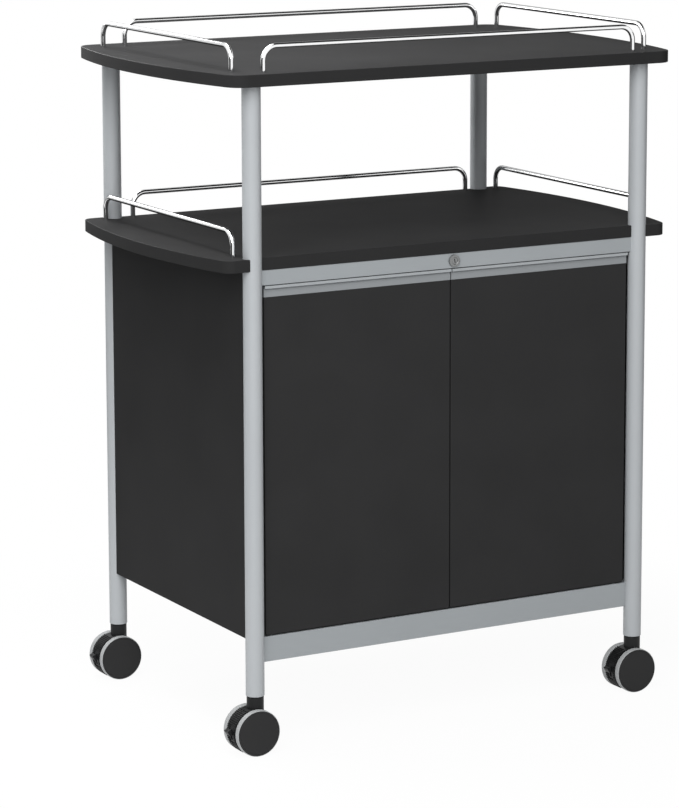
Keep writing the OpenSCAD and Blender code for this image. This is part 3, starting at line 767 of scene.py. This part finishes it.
def hood_rim(name, axle_x, y):
    """The rim over the gap between the wheels, a sector of a ring with rounded outer edges."""
    edge, near_edge = HOOD_EDGE_R, HOOD_EDGE_R * 0.3
    section = [(HOOD_BORE_R, -HOOD_HALF), (HOOD_R - edge, -HOOD_HALF),
               (HOOD_R - near_edge, -HOOD_HALF + near_edge), (HOOD_R, -HOOD_HALF + edge),
               (HOOD_R, HOOD_HALF - edge), (HOOD_R - near_edge, HOOD_HALF - near_edge),
               (HOOD_R - edge, HOOD_HALF), (HOOD_BORE_R, HOOD_HALF)]
    bm = bmesh.new()
    rings = []
    for k in range(HOOD_STEPS + 1):
        t = math.radians(HOOD_START + HOOD_SWEEP * k / HOOD_STEPS)
        rings.append([bm.verts.new((axle_x + r * math.cos(t), y + h, WHEEL_R + r * math.sin(t)))
                      for r, h in section])
    loft(bm, rings)
    make_piece(name + "_hood_shell", bm, [CASTER_BLACK], name + "_caster",
               [name + "_caster_hood"], cutters=[lever_slot(axle_x, y)])


def hood_web(name, axle_x, y):
    """The web between the wheels, which fills the rim and ends as a boss round the axle."""
    end = HOOD_START + HOOD_SWEEP
    outline = arc(axle_x, WHEEL_R, HOOD_BORE_R + WEB_IN_RIM, HOOD_START, end, WEB_STEPS)
    outline += arc(axle_x, WHEEL_R, WEB_BOSS_R, end, HOOD_START + 360, BOSS_STEPS)
    bm = bmesh.new()
    prism(bm, outline, y - WEB_HALF, y + WEB_HALF)
    make_piece(name + "_hood_web", bm, [CASTER_BLACK], name + "_caster",
               cutters=[lever_slot(axle_x, y)])


def hood_ribs(name, axle_x, y):
    """Grip ribs across the rim, which leave the pedal free."""
    bm = bmesh.new()
    for degrees in RIB_ANGLES:
        near_pedal = PEDAL_ANGLES[0] < degrees < PEDAL_ANGLES[1]
        for side in (-1, 1):
            y_low, y_high = sorted((side * (RIB_IN if near_pedal else 0), side * RIB_OUT))
            rib = bmesh.new()
            block(rib, (HOOD_R - RIB_SUNK, y_low, -RIB_HALF_W),
                  (HOOD_R + RIB_PROUD, y_high, RIB_HALF_W), RIB_EDGE_R, steps=2)
            turn = Matrix.Rotation(-math.radians(degrees), 4, "Y")
            place = Matrix.Translation((axle_x, y, WHEEL_R)) @ turn
            bmesh.ops.transform(rib, matrix=place, verts=rib.verts)
            merge(bm, rib)
    make_piece(name + "_hood_ribs", bm, [CASTER_BLACK], name + "_caster")


def neck(name, x, axle_x, y):
    """The swivel neck, turned, and cut clear of the wheels' inner drums."""
    bm = bmesh.new()
    lathe(bm, [(0, NECK_FOOT), (NECK_R, NECK_FOOT), (NECK_R, NECK_TOP - 1.6),
               (NECK_R - 0.4, NECK_TOP - 1.2), (NECK_R - 0.4, NECK_TOP - 0.3),
               (NECK_R - 0.7, NECK_TOP), (0, NECK_TOP)],
          (x, y, 0), segments=72)
    drums = []
    for side in (-1, 1):
        drum = bmesh.new()
        lathe(drum, [(0, WEB_HALF), (HOOD_BORE_R, WEB_HALF), (HOOD_BORE_R, DRUM_END),
                     (0, DRUM_END)], (axle_x, y, WHEEL_R), "Y", side, 96)
        drums.append(drum)
    make_piece(name + "_neck", bm, [CASTER_BLACK], name + "_caster",
               cutters=drums)


def caster_pins(name, x, axle_x, y):
    """The axle, the stem that goes up into the post, and the lever's pin."""
    bm = bmesh.new()
    end, chamfer = AXLE_END, AXLE_CHAMFER
    lathe(bm, [(0, -end), (AXLE_R - chamfer, -end), (AXLE_R, chamfer - end),
               (AXLE_R, end - chamfer), (AXLE_R - chamfer, end), (0, end)],
          (axle_x, y, WHEEL_R), "Y", segments=36)
    foot, top = NECK_TOP - STEM_SUNK, NECK_TOP + STEM_LENGTH
    lathe(bm, [(0, foot), (STEM_R, foot), (STEM_R, top - STEM_CHAMFER),
               (STEM_R - STEM_CHAMFER, top), (0, top)], (x, y, 0), segments=36)
    lathe(bm, [(0, -WEB_HALF), (LEVER_PIN_R, -WEB_HALF), (LEVER_PIN_R, WEB_HALF), (0, WEB_HALF)],
          (axle_x - LEVER_PIVOT, y, WHEEL_R), "Y", segments=24)
    make_piece(name + "_steel_pins", bm, [STEEL], name + "_caster",
               [name + "_caster_pins"])


def wheel(name, which, axle_x, y, sign):
    """A wheel's hub and tread. The sign points from the caster's middle to the wheel's cap."""
    centre = (axle_x, y, WHEEL_R)
    cap = [(0, CASTER_HALF), (14, CASTER_HALF - 0.05), (26, CASTER_HALF - 0.28),
           (CAP_R - 3.3, CASTER_HALF - 0.52), (CAP_R - 2.9, CASTER_HALF - 0.9),
           (CAP_R - 2.5, CASTER_HALF - 0.56), (CAP_R - 0.8, CASTER_HALF - 0.7),
           (CAP_R - 0.2, CASTER_HALF - 1.0), (CAP_R, CASTER_HALF - 1.4)]
    tread_seat = [(CAP_R, TREAD_OUT), (TREAD_SEAT_R, TREAD_OUT), (TREAD_SEAT_R, TREAD_IN),
                  (HUB_R + 2, TREAD_IN), (HUB_R + 1.4, TREAD_IN - 0.5), (HUB_R, TREAD_IN - 0.5)]
    inner = [(HUB_R, HUB_IN + 0.8), (HUB_R - 0.8, HUB_IN), (HUB_R - 3, HUB_IN),
             (HUB_R - 3.6, HUB_IN + 1.5), (HUB_BOSS_R + 0.6, HUB_IN + 1.5), (HUB_BOSS_R, HUB_IN)]
    bore = [(AXLE_R + BORE_GAP, HUB_IN), (AXLE_R + BORE_GAP, BORE_END), (0, BORE_END)]
    bm = bmesh.new()
    lathe(bm, cap + tread_seat + inner + bore, centre, "Y", sign, 96)
    body = name + "_" + which + "_wheel"
    make_piece(body + "_hub", bm, [HUB_BLACK], body,
               [name + "_" + which + "_hub"], sharp_angle=28)
    bm = bmesh.new()
    lathe(bm, [(TREAD_SEAT_R + 0.02, TREAD_IN), (WHEEL_R - 1.2, TREAD_IN),
               (WHEEL_R - 0.4, TREAD_IN + 0.35), (WHEEL_R, TREAD_IN + 1.3),
               (WHEEL_R, TREAD_OUT - 1.0), (WHEEL_R - 0.3, TREAD_OUT - 0.3),
               (WHEEL_R - 0.9, TREAD_OUT), (TREAD_SEAT_R + 0.02, TREAD_OUT)],
          centre, "Y", sign, 128, closed=True)
    make_piece(body + "_tread", bm, [TREAD_GREY], body,
               [name + "_" + which + "_tyre"], sharp_angle=50)


def brake_pedal(name, axle_x, y):
    """The brake lever: an arm in the slot and a ribbed pedal that thins to its tip."""
    bm = bmesh.new()
    bore_r = LEVER_PIN_R + BORE_GAP
    lathe(bm, [(bore_r, -ARM_HALF_W), (LEVER_BOSS_R - 0.3, -ARM_HALF_W),
               (LEVER_BOSS_R, 0.3 - ARM_HALF_W), (LEVER_BOSS_R, ARM_HALF_W - 0.3),
               (LEVER_BOSS_R - 0.3, ARM_HALF_W), (bore_r, ARM_HALF_W)],
          (axle_x - LEVER_PIVOT, y, WHEEL_R), "Y", segments=32, closed=True)
    block(bm, (axle_x - PEDAL_BACK - 1, y - ARM_HALF_W, WHEEL_R - ARM_HALF_H),
          (axle_x - LEVER_PIVOT - 2.6, y + ARM_HALF_W, WHEEL_R + ARM_HALF_H), ARM_EDGE_R,
          steps=2)
    outline = [(PEDAL_BACK, PEDAL_FOOT + 0.4), (PEDAL_BACK + 0.3, PEDAL_FOOT),
               (PEDAL_BACK + 3, PEDAL_FOOT), (PEDAL_TIP - 0.3, TIP_FOOT - 0.5),
               (PEDAL_TIP, TIP_FOOT), (PEDAL_TIP, TIP_TOP), (PEDAL_TIP - 0.3, TIP_TOP + 0.35),
               (PEDAL_BACK + 3.1, PEDAL_TOP - 0.05), (PEDAL_BACK + 1.3, PEDAL_TOP),
               (PEDAL_BACK + 1, PEDAL_TOP - 0.4)]
    prism(bm, [(axle_x - reach, WHEEL_R + up) for reach, up in outline],
          y - PEDAL_HALF_W, y + PEDAL_HALF_W)
    for k in range(PEDAL_RIBS):
        rib_x = axle_x - PEDAL_BACK - 2.4 - PEDAL_RIB_STEP * k
        rib_z = WHEEL_R + PEDAL_TOP + 0.2 - PEDAL_RIB_DROP * k
        block(bm, (rib_x - PEDAL_RIB_HALF_W, y - PEDAL_RIB_HALF_L, rib_z - PEDAL_RIB_H),
              (rib_x + PEDAL_RIB_HALF_W, y + PEDAL_RIB_HALF_L, rib_z), PEDAL_RIB_EDGE_R, steps=2)
    make_piece(name + "_brake_pedal", bm, [CASTER_BLACK], name + "_brake",
               [name + "_brake_lever"])


def caster(name, side_x, side_y):
    """All of one caster. It turns about its post, and its axle trails towards -X."""
    x, y = side_x * POST_X, side_y * POST_Y
    axle_x = x - TRAIL
    hood_rim(name, axle_x, y)
    hood_web(name, axle_x, y)
    hood_ribs(name, axle_x, y)
    neck(name, x, axle_x, y)
    caster_pins(name, x, axle_x, y)
    wheel(name, "outer", axle_x, y, side_y)
    wheel(name, "inner", axle_x, y, -side_y)
    brake_pedal(name, axle_x, y)


for name, (side_x, side_y) in CORNERS.items():
    caster(name, side_x, side_y)


# CAD pieces that stay

STAYING = {"floor_panel": PANEL_BLACK, "inner_shelf": PANEL_BLACK,
           "left_side_panel": PANEL_BLACK, "right_side_panel": PANEL_BLACK,
           "back_panel": PANEL_BLACK, "post_inserts": INSERT_BLACK,
           "dowels": STEEL, "shelf_pins": STEEL, "door_pivot_pins": STEEL}
for name, material in STAYING.items():
    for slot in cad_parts[name].material_slots:
        slot.material = material


# Background and floor, in metres

WHITE = (1, 1, 1, 1)
WORLD_LEVEL, CARD_LEVEL = 0.2, 0.03


def empty_material(name):
    """A material with an empty node tree."""
    material = bpy.data.materials.new(name)
    material.use_nodes = True
    material.node_tree.nodes.clear()
    return material


def combine(tree, operation, first, second):
    """The result of a Math node on two values."""
    made = tree.nodes.new("ShaderNodeMath")
    made.operation = operation
    tree.links.new(first, made.inputs[0])
    tree.links.new(second, made.inputs[1])
    return made.outputs[0]


def seen_directly(tree):
    """1 on the rays of the camera, of gloss and of glass, and 0 on the rest."""
    path = tree.nodes.new("ShaderNodeLightPath")
    seen = path.outputs["Is Camera Ray"]
    for ray in ("Is Glossy Ray", "Is Transmission Ray"):
        seen = combine(tree, "MAXIMUM", seen, path.outputs[ray])
    return seen


def show_mixed(tree, share, first, second, output_kind):
    """Sends two mixed shaders to a tree's output. A share of 1 shows the second alone."""
    mixed = tree.nodes.new("ShaderNodeMixShader")
    tree.links.new(share, mixed.inputs[0])
    tree.links.new(first.outputs[0], mixed.inputs[1])
    tree.links.new(second.outputs[0], mixed.inputs[2])
    out = tree.nodes.new(output_kind)
    tree.links.new(mixed.outputs[0], out.inputs["Surface"])


def flat_sheet(name, half_w, half_h):
    """A rectangle in the XY plane."""
    bm = bmesh.new()
    corners = ((-half_w, -half_h), (half_w, -half_h), (half_w, half_h), (-half_w, half_h))
    bm.faces.new([bm.verts.new((x, y, 0)) for x, y in corners])
    return add_object(name, to_mesh(name, bm))


def background():
    """White for the camera, gloss and glass; a plain level for everything else."""
    world = bpy.data.worlds.new("studio")
    bpy.context.scene.world = world
    world.use_nodes = True
    tree = world.node_tree
    tree.nodes.clear()
    plain = add(tree, "ShaderNodeBackground", Color=WHITE, Strength=WORLD_LEVEL)
    white = add(tree, "ShaderNodeBackground", Color=WHITE, Strength=1.0)
    show_mixed(tree, seen_directly(tree), plain, white, "ShaderNodeOutputWorld")


def floor():
    """A pale floor with a faint shadow near the cart, which fades into plain white."""
    half = 6.0
    fade_start, fade_end = 0.55, 1.1
    near_share = 0.96
    plane = flat_sheet("studio_floor", half, half)
    material = empty_material("pale_floor")
    tree = material.node_tree
    coord = tree.nodes.new("ShaderNodeTexCoord")
    distance = tree.nodes.new("ShaderNodeVectorMath")
    distance.operation = "LENGTH"
    tree.links.new(coord.outputs["Object"], distance.inputs[0])
    fade = add(tree, "ShaderNodeMapRange", From_Min=fade_start, From_Max=fade_end,
               To_Min=near_share, To_Max=1.0)
    fade.interpolation_type = "SMOOTHSTEP"
    tree.links.new(distance.outputs["Value"], fade.inputs["Value"])
    share = combine(tree, "MULTIPLY", seen_directly(tree), fade.outputs["Result"])
    lit = add(tree, "ShaderNodeBsdfDiffuse", Color=(0.9, 0.9, 0.9, 1))
    white = add(tree, "ShaderNodeEmission", Color=WHITE, Strength=1.0)
    show_mixed(tree, share, lit, white, "ShaderNodeOutputMaterial")
    plane.data.materials.append(material)


# Lamps and cards, in metres

def aim(thing, where, target):
    """Puts a lamp or a card in its place and turns its face to a target."""
    thing.location = where
    thing.rotation_mode = "QUATERNION"
    thing.rotation_quaternion = (Vector(target) - Vector(where)).to_track_quat("-Z", "Y")


def softbox(name, where, target, size, power):
    """A soft lamp. The camera itself doesn't see it."""
    data = bpy.data.lights.new(name, "AREA")
    data.shape = "RECTANGLE"
    data.size, data.size_y = size
    data.energy = power
    lamp = add_object(name, data)
    aim(lamp, where, target)
    lamp.visible_camera = False


def dark_card(name, where, target, size):
    """A dark card that only reflections see, for the dark lines in polished metal."""
    card = flat_sheet(name, size[0] / 2, size[1] / 2)
    material = empty_material("dark_card")
    tree = material.node_tree
    dim = add(tree, "ShaderNodeEmission", Color=WHITE, Strength=CARD_LEVEL)
    out = tree.nodes.new("ShaderNodeOutputMaterial")
    tree.links.new(dim.outputs[0], out.inputs["Surface"])
    card.data.materials.append(material)
    aim(card, where, target)
    card.visible_camera = card.visible_diffuse = card.visible_shadow = False
    card.visible_transmission = card.visible_volume_scatter = False


# Camera, in metres

def camera():
    """The photograph's camera: a long lens at about 30 degrees from the front's left."""
    focal_px, centre_px, centre_py = 3372.8, 398.44, 284.40
    wide_px, tall_px = 679, 808
    azimuth, pitch, roll = [math.radians(d) for d in (-30.0484, 9.4848, 0.0175)]
    where = (-2.6621, -4.6836, 1.5651)
    data = bpy.data.cameras.new("photo_camera")
    data.sensor_fit = "AUTO"
    data.sensor_width = 36.0
    data.lens = focal_px / tall_px * data.sensor_width
    data.shift_x = (wide_px / 2 - centre_px) / tall_px
    data.shift_y = (centre_py - tall_px / 2) / tall_px
    data.clip_start, data.clip_end = 0.1, 60
    made = add_object("photo_camera", data)
    back = Vector((math.sin(azimuth) * math.cos(pitch), -math.cos(azimuth) * math.cos(pitch),
                   math.sin(pitch)))
    level = Vector((math.cos(azimuth), math.sin(azimuth), 0))
    upright = back.cross(level)
    right = level * math.cos(roll) + upright * math.sin(roll)
    up = upright * math.cos(roll) - level * math.sin(roll)
    turn = Matrix((right, up, back)).transposed()
    made.matrix_world = Matrix.Translation(where) @ turn.to_4x4()
    bpy.context.scene.camera = made


background()
floor()
softbox("key_light", where=(-1.95, -2.68, 3.19), target=(0, 0, 0.6), size=(3.4, 3.4), power=168)
softbox("top_light", where=(-0.62, 0.05, 2.0), target=(-0.62, 0.05, 0), size=(0.7, 0.7), power=15)
softbox("bay_light", where=(-0.4, 0.95, 1.35), target=(-0.1, 0, 0.77), size=(0.5, 0.5), power=6.5)
dark_card("overhead_flag", where=(1.3, -0.55, 2.67), target=(1.3, -0.55, 0), size=(2.4, 3.5))
dark_card("left_flag", where=(-2.2, -0.5, 0.7), target=(0, -0.5, 0.7), size=(3.2, 1.4))
dark_card("right_flag", where=(2.2, -0.5, 0.7), target=(0, -0.5, 0.7), size=(2.4, 1.4))
dark_card("back_flag", where=(-0.9, 1.7, 0.25), target=(0, 0, 0.7), size=(2.4, 0.5))
camera()
bpy.context.scene.view_settings.view_transform = "Standard"
